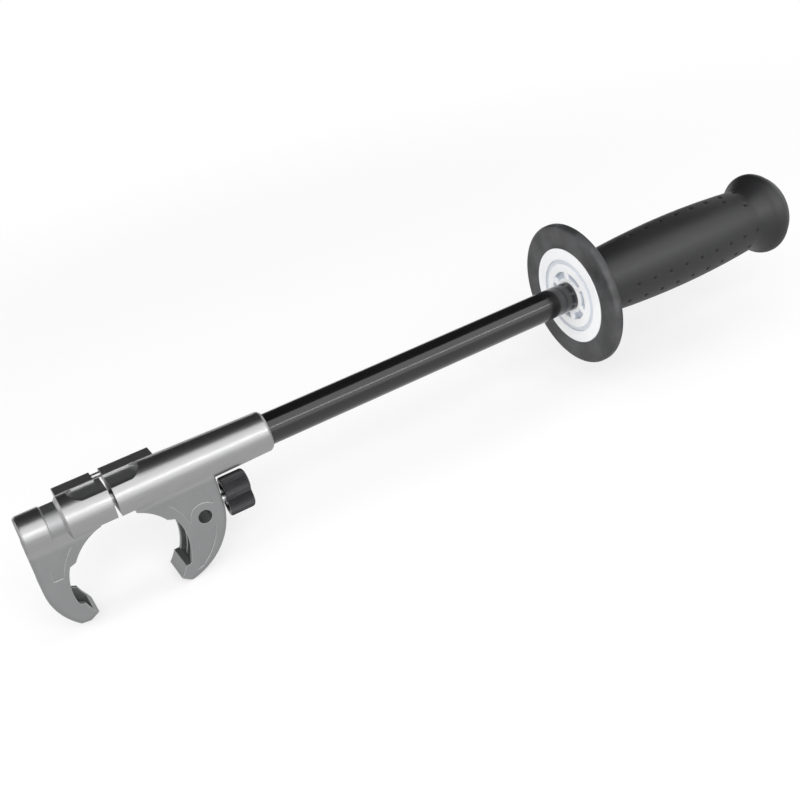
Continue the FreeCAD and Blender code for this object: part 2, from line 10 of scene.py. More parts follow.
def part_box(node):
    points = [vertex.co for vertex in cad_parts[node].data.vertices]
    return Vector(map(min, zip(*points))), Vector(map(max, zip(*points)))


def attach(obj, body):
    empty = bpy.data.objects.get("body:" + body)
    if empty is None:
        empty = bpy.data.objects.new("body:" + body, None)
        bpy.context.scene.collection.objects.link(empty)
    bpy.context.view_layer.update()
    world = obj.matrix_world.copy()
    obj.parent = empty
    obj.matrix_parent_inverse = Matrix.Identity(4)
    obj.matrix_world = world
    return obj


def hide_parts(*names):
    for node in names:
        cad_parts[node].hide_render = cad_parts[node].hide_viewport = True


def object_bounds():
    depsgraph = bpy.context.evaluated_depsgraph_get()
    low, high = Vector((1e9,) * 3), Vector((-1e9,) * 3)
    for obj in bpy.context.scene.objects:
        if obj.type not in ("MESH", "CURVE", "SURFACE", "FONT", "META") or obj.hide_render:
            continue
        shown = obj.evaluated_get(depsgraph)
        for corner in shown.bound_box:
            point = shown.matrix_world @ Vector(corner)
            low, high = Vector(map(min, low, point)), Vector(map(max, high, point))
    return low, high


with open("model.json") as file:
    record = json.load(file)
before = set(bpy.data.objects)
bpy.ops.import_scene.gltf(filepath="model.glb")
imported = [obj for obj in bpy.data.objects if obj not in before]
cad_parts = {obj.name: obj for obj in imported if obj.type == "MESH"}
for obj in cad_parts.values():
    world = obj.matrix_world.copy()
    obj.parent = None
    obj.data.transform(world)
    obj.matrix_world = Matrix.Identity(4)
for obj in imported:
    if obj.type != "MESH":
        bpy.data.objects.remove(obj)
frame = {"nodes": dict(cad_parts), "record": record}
cad_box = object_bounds()

MM = 0.001
HANDLE_AXIS = Vector((1, 0, 0))
pipe_low, pipe_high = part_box("handle_pipe")
axis_z = (pipe_low.z + pipe_high.z) / 2.0
disc_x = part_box("grip_core")[0].x


# Small helpers for node trees
def add_node(tree, kind, settings=None, **inputs):
    """A node with its settings, and its unlinked inputs given by name."""
    made = tree.nodes.new(kind)
    for name, value in (settings or {}).items():
        setattr(made, name, value)
    for name, value in inputs.items():
        made.inputs[name.replace("_", " ")].default_value = value
    return made


def math_node(tree, operation, first, second=None):
    """The result of a sum on one or two values, each given as a number or as a socket."""
    made = tree.nodes.new("ShaderNodeMath")
    made.operation = operation
    for index, value in enumerate((first, second)):
        if value is None:
            continue
        if isinstance(value, (int, float)):
            made.inputs[index].default_value = value
        else:
            tree.links.new(value, made.inputs[index])
    return made.outputs[0]


def ramp_between(tree, value, low, high):
    """A value from 0 at low to 1 at high, eased at both ends."""
    made = tree.nodes.new("ShaderNodeMapRange")
    made.interpolation_type = "SMOOTHSTEP"
    made.inputs["From Min"].default_value = low
    made.inputs["From Max"].default_value = high
    tree.links.new(value, made.inputs["Value"])
    return made.outputs["Result"]


def ramp_over(tree, place, stops, start=0.0):
    """A ramp from 0 to 1 between two places in millimetres, counted from a start in metres."""
    low, high = (start + stop * MM for stop in stops)
    return ramp_between(tree, place, low, high)


def new_group(name, inputs, outputs):
    """A node group with named sockets: inputs and outputs are (name, socket type, default)."""
    group = bpy.data.node_groups.new(name, "ShaderNodeTree")
    for socket_name, kind, default in inputs:
        socket = group.interface.new_socket(name=socket_name, in_out="INPUT", socket_type=kind)
        if default is not None:
            socket.default_value = default
    for socket_name, kind in outputs:
        group.interface.new_socket(name=socket_name, in_out="OUTPUT", socket_type=kind)
    start = group.nodes.new("NodeGroupInput")
    end = group.nodes.new("NodeGroupOutput")
    return group, start, end


# Shared effects
def surface_grain_group():
    """Fine grain for height, and slow drift for colour and gloss."""
    group, start, end = new_group(
        "surface_grain",
        [("Vector", "NodeSocketVector", None), ("Grain", "NodeSocketFloat", 3000.0),
         ("Drift", "NodeSocketFloat", 40.0)],
        [("Height", "NodeSocketFloat"), ("Drift", "NodeSocketFloat")])
    fine = add_node(group, "ShaderNodeTexNoise", Detail=3.0, Roughness=0.6)
    slow = add_node(group, "ShaderNodeTexNoise", Detail=4.0, Roughness=0.55)
    for noise, scale in ((fine, "Grain"), (slow, "Drift")):
        group.links.new(start.outputs["Vector"], noise.inputs["Vector"])
        group.links.new(start.outputs[scale], noise.inputs["Scale"])
    group.links.new(fine.outputs["Fac"], end.inputs["Height"])
    group.links.new(slow.outputs["Fac"], end.inputs["Drift"])
    return group


def tool_marks_group():
    """Fine lines left by a tool, drawn out along one direction."""
    group, start, end = new_group(
        "tool_marks",
        [("Vector", "NodeSocketVector", None), ("Stretch", "NodeSocketVector", (1.0, 1.0, 1.0)),
         ("Lines", "NodeSocketFloat", 900.0)],
        [("Height", "NodeSocketFloat")])
    stretched = add_node(group, "ShaderNodeVectorMath", {"operation": "MULTIPLY"})
    noise = add_node(group, "ShaderNodeTexNoise", Detail=3.0, Roughness=0.65)
    group.links.new(start.outputs["Vector"], stretched.inputs[0])
    group.links.new(start.outputs["Stretch"], stretched.inputs[1])
    group.links.new(stretched.outputs["Vector"], noise.inputs["Vector"])
    group.links.new(start.outputs["Lines"], noise.inputs["Scale"])
    group.links.new(noise.outputs["Fac"], end.inputs["Height"])
    return group


def handle_radius_group():
    """The distance of a point from the handle's axis, in metres."""
    group, start, end = new_group(
        "handle_radius",
        [("Vector", "NodeSocketVector", None), ("Axis Height", "NodeSocketFloat", axis_z)],
        [("Radius", "NodeSocketFloat"), ("Along", "NodeSocketFloat"), ("Up", "NodeSocketFloat")])
    split = add_node(group, "ShaderNodeSeparateXYZ")
    group.links.new(start.outputs["Vector"], split.inputs["Vector"])
    rise = math_node(group, "SUBTRACT", split.outputs["Z"], start.outputs["Axis Height"])
    squares = math_node(group, "ADD", math_node(group, "MULTIPLY", rise, rise),
                        math_node(group, "MULTIPLY", split.outputs["Y"], split.outputs["Y"]))
    group.links.new(math_node(group, "SQRT", squares), end.inputs["Radius"])
    group.links.new(split.outputs["X"], end.inputs["Along"])
    group.links.new(rise, end.inputs["Up"])
    return group


surface_grain = surface_grain_group()
tool_marks = tool_marks_group()
handle_radius = handle_radius_group()


def place_group(tree, group, vector, **inputs):
    """A shared effect in a material's tree, with its own values by name."""
    made = tree.nodes.new("ShaderNodeGroup")
    made.node_tree = group
    tree.links.new(vector, made.inputs["Vector"])
    for name, value in inputs.items():
        made.inputs[name.replace("_", " ")].default_value = value
    return made


def new_finish(name, **sockets):
    """A material with one Principled shader: the material, its tree, shader and coordinates."""
    material = bpy.data.materials.new(name)
    material.use_nodes = True
    tree = material.node_tree
    shader = tree.nodes["Principled BSDF"]
    for socket, value in sockets.items():
        shader.inputs[socket.replace("_", " ")].default_value = value
    coordinates = tree.nodes.new("ShaderNodeTexCoord").outputs["Object"]
    return material, tree, shader, coordinates


def colour_between(tree, mask, first, second):
    """A mix of two colours, each given as three numbers or as a socket."""
    mix = tree.nodes.new("ShaderNodeMix")
    mix.data_type = "RGBA"
    for name, value in (("A", first), ("B", second)):
        if isinstance(value, tuple):
            mix.inputs[name].default_value = (*value, 1.0)
        else:
            tree.links.new(value, mix.inputs[name])
    tree.links.new(mask, mix.inputs["Factor"])
    return mix.outputs["Result"]


def edge_mask(tree, radius):
    """1 along an edge or a step, and 0 on flat and evenly curved faces."""
    soft = add_node(tree, "ShaderNodeBevel", {"samples": EDGE_MASK_SAMPLES}, Radius=radius)
    plain = tree.nodes.new("ShaderNodeNewGeometry")
    along = add_node(tree, "ShaderNodeVectorMath", {"operation": "DOT_PRODUCT"})
    tree.links.new(soft.outputs["Normal"], along.inputs[0])
    tree.links.new(plain.outputs["Normal"], along.inputs[1])
    apart = math_node(tree, "SUBTRACT", 1.0, along.outputs["Value"])
    return ramp_between(tree, apart, *EDGE_MASK_APART)


def value_between(tree, mask, first, second):
    """A mix of two values, each given as a number or as a socket."""
    mix = tree.nodes.new("ShaderNodeMix")
    mix.data_type = "FLOAT"
    for name, value in (("A", first), ("B", second)):
        if isinstance(value, (int, float)):
            mix.inputs[name].default_value = value
        else:
            tree.links.new(value, mix.inputs[name])
    tree.links.new(mask, mix.inputs["Factor"])
    return mix.outputs["Result"]


def raise_bumps(tree, shader, height, distance, strength, edge_round=None):
    """Bumps of a depth in metres, over edges that look rounded where a radius is given."""
    bump = add_node(tree, "ShaderNodeBump", Distance=distance, Strength=strength)
    tree.links.new(height, bump.inputs["Height"])
    if edge_round:
        soft_edge = add_node(tree, "ShaderNodeBevel", {"samples": EDGE_ROUND_SAMPLES},
                             Radius=edge_round)
        tree.links.new(soft_edge.outputs["Normal"], bump.inputs["Normal"])
    tree.links.new(bump.outputs["Normal"], shader.inputs["Normal"])


def feed(tree, shader, **sockets):
    """Links values that change over the surface to the shader's inputs, by name."""
    for name, value in sockets.items():
        tree.links.new(value, shader.inputs[name.replace("_", " ")])


# Painted edge highlights and rounded edges: how far the surface turns at an edge, how finely it is
# felt, and the painted highlight's width in millimetres and its share of pale metal colour
EDGE_MASK_APART = (0.01, 0.09)
EDGE_MASK_SAMPLES = 8
EDGE_ROUND_SAMPLES = 6
EDGE_HIGHLIGHT_WIDTH = 0.3
EDGE_HIGHLIGHT_SHARE = 0.75

# Where finishes change, and where painted shade falls on the disc, in millimetres out or up from
# the axis, or along it from the disc's face
TURNED_OUT = (9.45, 9.95)
TURNED_UP = (-9.0, -6.5)
BLOOM_ENDS_ALONG = (2.0, 6.0)
DISC_SHADE_DEEP_ALONG = (0.3, 2.2)
DISC_SHADE_RING_STARTS = (17.6, 18.8)
DISC_SHADE_RING_ENDS = (20.2, 21.4)
DISC_SHADE_RING_SHARE = 0.7


# Finishes
def cast_alloy_finish():
    """Tumbled die-cast alloy, turned bright where the jaws are round about the handle's axis."""
    material, tree, shader, at = new_finish("cast_alloy", Metallic=1.0)
    grain = place_group(tree, surface_grain, at, Grain=2600.0, Drift=55.0)
    marks = place_group(tree, tool_marks, at, Stretch=(0.06, 1.0, 1.0), Lines=1500.0)
    place = place_group(tree, handle_radius, at)
    drift = grain.outputs["Drift"]
    lines = marks.outputs["Height"]
    turned = math_node(tree, "MULTIPLY", ramp_over(tree, place.outputs["Radius"], TURNED_OUT),
                       ramp_over(tree, place.outputs["Up"], TURNED_UP))
    cast = colour_between(tree, drift, (0.37, 0.376, 0.38), (0.44, 0.446, 0.448))
    bright = colour_between(tree, lines, (0.47, 0.47, 0.475), (0.57, 0.57, 0.57))
    unworn = colour_between(tree, turned, cast, bright)
    # Painted highlight: pale metal colour along edges and steps, where light catches them
    painted_edge_highlight = math_node(tree, "MULTIPLY", edge_mask(tree, EDGE_HIGHLIGHT_WIDTH * MM), EDGE_HIGHLIGHT_SHARE)
    rough_cast = value_between(tree, drift, 0.42, 0.52)
    rough_turned = value_between(tree, lines, 0.27, 0.36)
    feed(tree, shader,
         Base_Color=colour_between(tree, painted_edge_highlight, unworn, (0.82, 0.82, 0.82)),
         Roughness=value_between(tree, turned, rough_cast, rough_turned))
    height = value_between(tree, turned, grain.outputs["Height"], lines)
    raise_bumps(tree, shader, height, 0.03 * MM, 0.5, edge_round=0.35 * MM)
    return material


def bright_steel_finish():
    """Turned steel, with fine lines round it."""
    material, tree, shader, at = new_finish("bright_steel", Metallic=1.0)
    marks = place_group(tree, tool_marks, at, Stretch=(1.0, 0.1, 0.1), Lines=2500.0)
    lines = marks.outputs["Height"]
    feed(tree, shader,
         Base_Color=colour_between(tree, lines, (0.56, 0.56, 0.57), (0.68, 0.68, 0.69)),
         Roughness=value_between(tree, lines, 0.2, 0.34))
    raise_bumps(tree, shader, lines, 0.01 * MM, 0.5, edge_round=0.15 * MM)
    return material


def black_pipe_finish():
    """Gloss black coating with a faint orange peel."""
    material, tree, shader, at = new_finish("black_pipe", Coat_Weight=1.0, Coat_Roughness=0.1)
    grain = place_group(tree, surface_grain, at, Grain=700.0, Drift=30.0)
    drift = grain.outputs["Drift"]
    feed(tree, shader,
         Base_Color=colour_between(tree, drift, (0.003, 0.003, 0.0033), (0.006, 0.006, 0.0064)),
         Roughness=value_between(tree, drift, 0.16, 0.24))
    raise_bumps(tree, shader, grain.outputs["Height"], 0.02 * MM, 0.25)
    return material


def rubber_finish():
    """Satin rubber: a fine stipple, painted shade in the dimples, and a pale, uneven bloom on the
    guard.
    """
    material, tree, shader, at = new_finish("rubber", Specular_IOR_Level=0.75)
    grain = place_group(tree, surface_grain, at, Grain=3200.0, Drift=70.0)
    place = place_group(tree, handle_radius, at)
    drift = grain.outputs["Drift"]
    plain = colour_between(tree, drift, (0.006, 0.0062, 0.0070), (0.012, 0.0123, 0.0135))
    patches = ramp_between(tree, drift, 0.35, 0.7)
    dusty = colour_between(tree, patches, (0.022, 0.0225, 0.024), (0.060, 0.061, 0.064))
    past_guard = ramp_over(tree, place.outputs["Along"], BLOOM_ENDS_ALONG, start=disc_x)
    on_guard = math_node(tree, "SUBTRACT", 1.0, past_guard)
    undented = colour_between(tree, on_guard, plain, dusty)
    satin = value_between(tree, drift, 0.40, 0.52)
    # Painted shade: near-black colour in the dimples, read from the grip's attribute
    in_dimple_painted_shade = add_node(tree, "ShaderNodeAttribute", {"attribute_name": "dimple_painted_shade"}).outputs["Fac"]
    feed(tree, shader,
         Base_Color=colour_between(tree, in_dimple_painted_shade, undented, (0.002, 0.002, 0.002)),
         Roughness=value_between(tree, in_dimple_painted_shade, satin, 0.9))
    raise_bumps(tree, shader, grain.outputs["Height"], 0.035 * MM, 0.7)
    return material


def white_plastic_finish():
    """Satin white moulding, with painted shade, a little blue, in a ring of its face and where it
    is deep.
    """
    material, tree, shader, at = new_finish("white_plastic", Roughness=0.34)
    grain = place_group(tree, surface_grain, at, Grain=1500.0, Drift=60.0)
    place = place_group(tree, handle_radius, at)
    out = place.outputs["Radius"]
    deep_painted_shade = ramp_over(tree, place.outputs["Along"], DISC_SHADE_DEEP_ALONG, start=disc_x)
    before_end = math_node(tree, "SUBTRACT", 1.0, ramp_over(tree, out, DISC_SHADE_RING_ENDS))
    shade_ring = math_node(tree, "MULTIPLY", ramp_over(tree, out, DISC_SHADE_RING_STARTS), before_end)
    faint_shade_ring = math_node(tree, "MULTIPLY", shade_ring, DISC_SHADE_RING_SHARE)
    painted_shade = math_node(tree, "MAXIMUM", deep_painted_shade, faint_shade_ring)
    # Painted shade, a little blue, where the disc is deep and in a ring of its face
    feed(tree, shader,
         Base_Color=colour_between(tree, painted_shade, (0.87, 0.875, 0.885), (0.58, 0.62, 0.68)))
    raise_bumps(tree, shader, grain.outputs["Height"], 0.01 * MM, 0.4, edge_round=0.25 * MM)
    return material


def black_plastic_finish():
    """Half-gloss black moulding."""
    material, tree, shader, at = new_finish("black_plastic", Specular_IOR_Level=0.5)
    grain = place_group(tree, surface_grain, at, Grain=2400.0, Drift=90.0)
    drift = grain.outputs["Drift"]
    feed(tree, shader,
         Base_Color=colour_between(tree, drift, (0.016, 0.016, 0.018), (0.028, 0.028, 0.031)),
         Roughness=value_between(tree, drift, 0.22, 0.32))
    raise_bumps(tree, shader, grain.outputs["Height"], 0.01 * MM, 0.4)
    return material


finishes = {
    "cast_alloy": cast_alloy_finish(),
    "bright_steel": bright_steel_finish(),
    "black_pipe": black_pipe_finish(),
    "rubber": rubber_finish(),
    "white_plastic": white_plastic_finish(),
    "black_plastic": black_plastic_finish(),
}
slot_of = {part["node"]: part["material_slot"] for part in frame["record"]["subparts"]}
for node_name, node_object in frame["nodes"].items():
    node_object.data.materials.clear()
    node_object.data.materials.append(finishes[slot_of[node_name]])


# Profiles turned about the handle's axis
def arc_points(start, middle, end, steps):
    """Points on the circle through three points of a profile, without the last one."""
    (ax, ay), (bx, by), (cx, cy) = start, middle, end
    d = 2.0 * (ax * (by - cy) + bx * (cy - ay) + cx * (ay - by))
    a2 = ax * ax + ay * ay
    b2 = bx * bx + by * by
    c2 = cx * cx + cy * cy
    ux = (a2 * (by - cy) + b2 * (cy - ay) + c2 * (ay - by)) / d
    uy = (a2 * (cx - bx) + b2 * (ax - cx) + c2 * (bx - ax)) / d
    first = math.atan2(ay - uy, ax - ux)
    turn = math.atan2(cy - uy, cx - ux) - first
    through = math.atan2(by - uy, bx - ux) - first
    turn = (turn + math.pi) % (2.0 * math.pi) - math.pi
    through = (through + math.pi) % (2.0 * math.pi) - math.pi
    if through * turn < 0.0:
        turn -= math.copysign(2.0 * math.pi, turn)
    radius = math.hypot(ax - ux, ay - uy)
    return [(ux + radius * math.cos(first + turn * i / steps),
             uy + radius * math.sin(first + turn * i / steps)) for i in range(steps)]


def straight_points(start, end, steps):
    """Points on the line between two points of a profile, without the last one."""
    return [(start[0] + (end[0] - start[0]) * i / steps,
             start[1] + (end[1] - start[1]) * i / steps) for i in range(steps)]


def pairs_round(items):
    """Each item with the next one, and the last with the first."""
    return zip(items, items[1:] + items[:1])


def turn_all_round(mesh, corners, centre, steps):
    """Turns a closed profile about an axis along the handle, and leaves its faces outwards."""
    edges = [mesh.edges.new(pair) for pair in pairs_round(corners)]
    bmesh.ops.spin(mesh, geom=corners + edges, cent=centre, axis=HANDLE_AXIS,
                   angle=2.0 * math.pi, steps=steps, use_merge=True)
    bmesh.ops.remove_doubles(mesh, verts=mesh.verts, dist=DOUBLES_APART)
    bmesh.ops.recalc_face_normals(mesh, faces=mesh.faces)


def spun(profile, steps):
    """Turns a profile, in millimetres along from the disc's face and out from the axis."""
    mesh = bmesh.new()
    corners = [mesh.verts.new((disc_x + s * MM, 0.0, axis_z + r * MM)) for s, r in profile]
    turn_all_round(mesh, corners, (0.0, 0.0, axis_z), steps)
    return mesh


DOUBLES_APART = 1e-7
SHARP_ANGLE = 35.0


def finish_piece(mesh, name, body, slot, node, sharp=SHARP_ANGLE):
    """Turns a bmesh into a piece that stands for a CAD node."""
    data = bpy.data.meshes.new(name)
    mesh.to_mesh(data)
    mesh.free()
    data.polygons.foreach_set("use_smooth", [True] * len(data.polygons))
    data.set_sharp_from_angle(angle=math.radians(sharp))
    data.materials.append(finishes[slot])
    piece = bpy.data.objects.new(name, data)
    bpy.context.scene.collection.objects.link(piece)
    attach(piece, body)
    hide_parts(node)


# The rubber grip, its forms in millimetres: along the handle from the disc's face, and out from
# the axis
DISC_THICK = 4.2
DISC_R = 27.0
CORE_R = 13.5
CORE_LENGTH = 140.0
FLANGE_R = 39.7
FLANGE_FRONT = 0.4
FLANGE_BACK = 5.6
FLANGE_ROUND = 1.8
NECK = (13.0, 17.0)
BELLY = (70.0, 20.2)
WAIST = (122.6, 17.9)
RIM = (136.6, 23.7)
RIM_ROUND = 4.7
RIM_EDGE_R = 21.6
CAP_SEAT = (147.4, 12.1)

# The foot and the bend of the neck, from the guard's back and the neck's radius
NECK_FOOT = (1.0, 6.0)
NECK_BEND = (2.6, 1.9)

# The curves up to the rim and down from it: shares of the way, and how far the last one bulges
RISE_ALONG = 0.62
RISE_OUT = 0.4
FALL_ALONG = 0.3
FALL_BULGE = 1.0

# Steps of the curves: the barrel's are as fine as its dimples need
GUARD_FACE_STEPS = 12
GUARD_EDGE_STEPS = 8
NECK_STEPS = 12
BARREL_STEPS = 236
RIM_STEPS = 14
FALL_STEPS = 12
GRIP_STEPS_ROUND = 240

DIMPLE_R = 1.5
DIMPLE_DEPTH = 0.9
DIMPLE_EASE = 1.5
DIMPLE_PAINTED_SHADE = 1.3
DIMPLE_CLEAR_OF_BORE = 1.0
DIMPLE_PITCH = 11.0
DIMPLE_START = 33.3
DIMPLE_SHIFT = 5.1
DIMPLE_END = 123.0
DIMPLE_ROWS = 9
DIMPLE_FRONT_ANGLES = (-5.0, -33.5)
DIMPLE_TOP_ANGLE = -273.0
DIMPLES_BY_THE_BARE_PLACE = ((107.6, 71.0), (118.5, 49.0))


def dimple_centres():
    """Rows of dimples round the grip, apart from the bare place on its front.

    Each is a place along the grip and an angle from -Y over +Z.
    """
    front, second = DIMPLE_FRONT_ANGLES
    step = (DIMPLE_TOP_ANGLE - second) / DIMPLE_ROWS
    angles = [front] + [second + step * row for row in range(DIMPLE_ROWS + 1)]
    for row, angle in enumerate(angles):
        place = DIMPLE_START - (row % 2) * DIMPLE_SHIFT
        if row == len(angles) - 1:
            place += DIMPLE_PITCH
        while place < DIMPLE_END:
            yield place, math.radians(angle)
            place += DIMPLE_PITCH
    for place, angle in DIMPLES_BY_THE_BARE_PLACE:
        yield place, math.radians(angle)


def grip_profile():
    """Half the section of the guard, the barrel and the end knob, once round it."""
    edge = FLANGE_ROUND
    bend = 1.0 - math.sqrt(0.5)
    front = FLANGE_FRONT
    back = FLANGE_BACK
    shoulder = FLANGE_R - edge
    foot = (back + NECK_FOOT[0], NECK[1] + NECK_FOOT[1])
    rim_start = (RIM[0] - RIM_ROUND, RIM_EDGE_R)
    rim_end = (RIM[0] + RIM_ROUND, RIM_EDGE_R)
    rise = (WAIST[0] + (rim_start[0] - WAIST[0]) * RISE_ALONG,
            WAIST[1] + (RIM_EDGE_R - WAIST[1]) * RISE_OUT)
    fall = (CAP_SEAT[0] - (CAP_SEAT[0] - rim_end[0]) * FALL_ALONG,
            (RIM_EDGE_R + CAP_SEAT[1]) / 2.0 + FALL_BULGE)
    return [
        (DISC_THICK, CORE_R),
        *straight_points((DISC_THICK, DISC_R), (front, DISC_R), 2),
        *straight_points((front, DISC_R), (front, shoulder), GUARD_FACE_STEPS),
        *arc_points((front, shoulder), (front + edge * bend, FLANGE_R - edge * bend),
                    (front + edge, FLANGE_R), GUARD_EDGE_STEPS),
        *straight_points((front + edge, FLANGE_R), (back - edge, FLANGE_R), 2),
        *arc_points((back - edge, FLANGE_R), (back - edge * bend, FLANGE_R - edge * bend),
                    (back, shoulder), GUARD_EDGE_STEPS),
        *straight_points((back, shoulder), foot, GUARD_EDGE_STEPS),
        *arc_points(foot, (back + NECK_BEND[0], NECK[1] + NECK_BEND[1]), NECK, NECK_STEPS),
        *arc_points(NECK, BELLY, WAIST, BARREL_STEPS),
        *arc_points(WAIST, rise, rim_start, RIM_STEPS),
        *arc_points(rim_start, RIM, rim_end, RIM_STEPS),
        *arc_points(rim_end, fall, CAP_SEAT, FALL_STEPS),
        CAP_SEAT, (CORE_LENGTH, CAP_SEAT[1]), (CORE_LENGTH, CORE_R)]


def grip_rubber():
    """The guard ring, the barrel with its dimples and the end knob, in one moulding."""
    mesh = spun(grip_profile(), GRIP_STEPS_ROUND)
    dents = list(dimple_centres())
    dimple_painted_shade = mesh.verts.layers.float.new("dimple_painted_shade")
    for vert in mesh.verts:
        s = (vert.co.x - disc_x) / MM
        if not NECK[0] < s < DIMPLE_END + DIMPLE_R:
            continue
        y = vert.co.y / MM
        z = (vert.co.z - axis_z) / MM
        radius = math.hypot(y, z)
        if radius < CORE_R + DIMPLE_CLEAR_OF_BORE:
            continue
        angle = math.atan2(z, -y)
        for place, dent_angle in dents:
            if abs(place - s) > DIMPLE_R:
                continue
            turn = (angle - dent_angle + math.pi) % (2.0 * math.pi) - math.pi
            distance = math.hypot(place - s, turn * radius)
            if distance < DIMPLE_R:
                deep_painted_shade = DIMPLE_DEPTH * math.cos(distance / DIMPLE_R * math.pi / 2.0) ** DIMPLE_EASE
                # Painted shade for the dimple, strongest at its middle
                vert[dimple_painted_shade] = min(1.0, DIMPLE_PAINTED_SHADE * deep_painted_shade / DIMPLE_DEPTH)
                vert.co.y *= 1.0 - deep_painted_shade / radius
                vert.co.z = axis_z + (vert.co.z - axis_z) * (1.0 - deep_painted_shade / radius)
    finish_piece(mesh, "grip_rubber", "handle", "rubber", "grip_cover")


grip_rubber()


# The pipe, in millimetres
PIPE_R = (pipe_high.z - pipe_low.z) / 2.0 / MM
PIPE_WALL = 2.0
PIPE_CHAMFER = 0.5
PIPE_STEPS_ROUND = 128


def pipe_tube():
    """The pipe, round, with a chamfer at the end that runs in the sleeve."""
    start = (pipe_low.x - disc_x) / MM
    end = (pipe_high.x - disc_x) / MM
    inner = PIPE_R - PIPE_WALL
    profile = [(start, inner), (start, PIPE_R - PIPE_CHAMFER), (start + PIPE_CHAMFER, PIPE_R),
               (end, PIPE_R), (end, inner)]
    mesh = spun(profile, PIPE_STEPS_ROUND)
    finish_piece(mesh, "pipe_tube", "handle", "black_pipe", "handle_pipe")


pipe_tube()


# The thumb knob, two-lobed and ridged all the way round, in millimetres from its own axis. A wall
# is given as a share of the outline
KNOB_LOBE = 10.5
KNOB_WAIST = 4.0
KNOB_OUTLINE_STEPS = 3600
KNOB_RIDGES = 40
KNOB_RIDGE_DEPTH = 0.6
KNOB_POINTS_A_RIDGE = 8
KNOB_WALL = 0.76
KNOB_HOLLOW = 5.0
KNOB_DRAFT = 0.95
KNOB_SHARP_ANGLE = 50.0
HUB_R = 4.0
HUB_BORE_R = 2.6
HUB_STEPS_ROUND = 48

# How the knob narrows over its last two lengths at the far end, and over its first at the mouth
KNOB_END_ROUND = ((0.8, 0.96), (0.5, 0.88))
KNOB_MOUTH_ROUND = (0.5, 0.95)


def knob_outline():
    """Places across and up from the knob's axis, in millimetres, evenly spaced along the edge."""
    smooth = []
    for index in range(KNOB_OUTLINE_STEPS + 1):
        angle = 2.0 * math.pi * index / KNOB_OUTLINE_STEPS
        reach = math.hypot(KNOB_LOBE * math.cos(angle), KNOB_WAIST * math.sin(angle))
        smooth.append((reach * math.sin(angle), reach * math.cos(angle)))
    lengths = [0.0]
    for a, b in zip(smooth, smooth[1:]):
        lengths.append(lengths[-1] + math.dist(a, b))
    wanted = KNOB_RIDGES * KNOB_POINTS_A_RIDGE
    index = 0
    for number in range(wanted):
        while lengths[index] < lengths[-1] * number / wanted:
            index += 1
        across, up = smooth[index]
        (ax, ay), (bx, by) = smooth[index - 1 if index else -2], smooth[index + 1]
        run = math.dist((ax, ay), (bx, by))
        phase = 2.0 * math.pi * number / KNOB_POINTS_A_RIDGE
        dip = KNOB_RIDGE_DEPTH * (0.5 - 0.5 * math.cos(phase))
        yield across + dip * (by - ay) / run, up - dip * (bx - ax) / run


def draw_out(mesh, corners, centre, way, stops):
    """Draws a closed outline out along the handle in steps, each a length in metres and a size.

    Returns the last step's edges.
    """
    edges = [mesh.edges.get(pair) or mesh.edges.new(pair) for pair in pairs_round(corners)]
    size = 1.0
    for step, wanted in stops:
        made = bmesh.ops.extrude_edge_only(mesh, edges=edges)["geom"]
        verts = [item for item in made if isinstance(item, bmesh.types.BMVert)]
        edges = [item for item in made if isinstance(item, bmesh.types.BMEdge)]
        bmesh.ops.translate(mesh, verts=verts, vec=(way * step, 0.0, 0.0))
        bmesh.ops.scale(mesh, verts=verts, vec=(1.0, wanted / size, wanted / size),
                        space=Matrix.Translation(-centre))
        size = wanted
    return edges


def ridged_knob():
    """The knob, hollow at its mouth, with the hub that its screw sits in."""
    low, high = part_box("thumb_knob")
    centre = (low + high) / 2.0
    mouth_step, mouth_size = KNOB_MOUTH_ROUND
    mesh = bmesh.new()
    corners = [mesh.verts.new((low.x + mouth_step * MM, centre.y + across * MM, centre.z + up * MM))
               for across, up in knob_outline()]
    rounded_long = mouth_step + sum(step for step, size in KNOB_END_ROUND)
    to_the_end = [(high.x - low.x - rounded_long * MM, 1.0)]
    to_the_end += [(step * MM, size) for step, size in KNOB_END_ROUND]
    into_the_mouth = [(mouth_step * MM, mouth_size), (0.0, KNOB_WALL),
                      (-KNOB_HOLLOW * MM, KNOB_WALL * KNOB_DRAFT)]
    ends = [draw_out(mesh, corners, centre, way, stops)
            for way, stops in ((1.0, to_the_end), (-1.0, into_the_mouth))]
    for edges in ends:
        bmesh.ops.contextual_create(mesh, geom=edges)
    hub_end = low.x + KNOB_HOLLOW * MM
    hub_edge = [mesh.verts.new((x, centre.y, centre.z + r * MM)) for x, r in (
        (low.x, HUB_BORE_R), (low.x, HUB_R), (hub_end, HUB_R), (hub_end, HUB_BORE_R))]
    turn_all_round(mesh, hub_edge, centre, HUB_STEPS_ROUND)
    finish_piece(mesh, "ridged_knob", "gauge_knob", "black_plastic", "thumb_knob",
                 sharp=KNOB_SHARP_ANGLE)


ridged_knob()


# Stage: floor, cards and lamps, in metres
WHITE = (1.0, 1.0, 1.0, 1.0)
FLOOR_COLOUR = (0.93, 0.93, 0.93, 1.0)
FLOOR_HALF = 12.0
FLOOR_GAP = 0.0005
FLOOR_WHITENS = (0.35, 0.9)
FLOOR_WHITE_NEAR = 0.6
CARD_LEFT = -1.8
CARD_RIGHT = 2.2
CARD_LIFT = 0.001
WORLD_LIGHT = 0.55

middle = (cad_box[0] + cad_box[1]) / 2.0
floor_height = cad_box[0].z - FLOOR_GAP


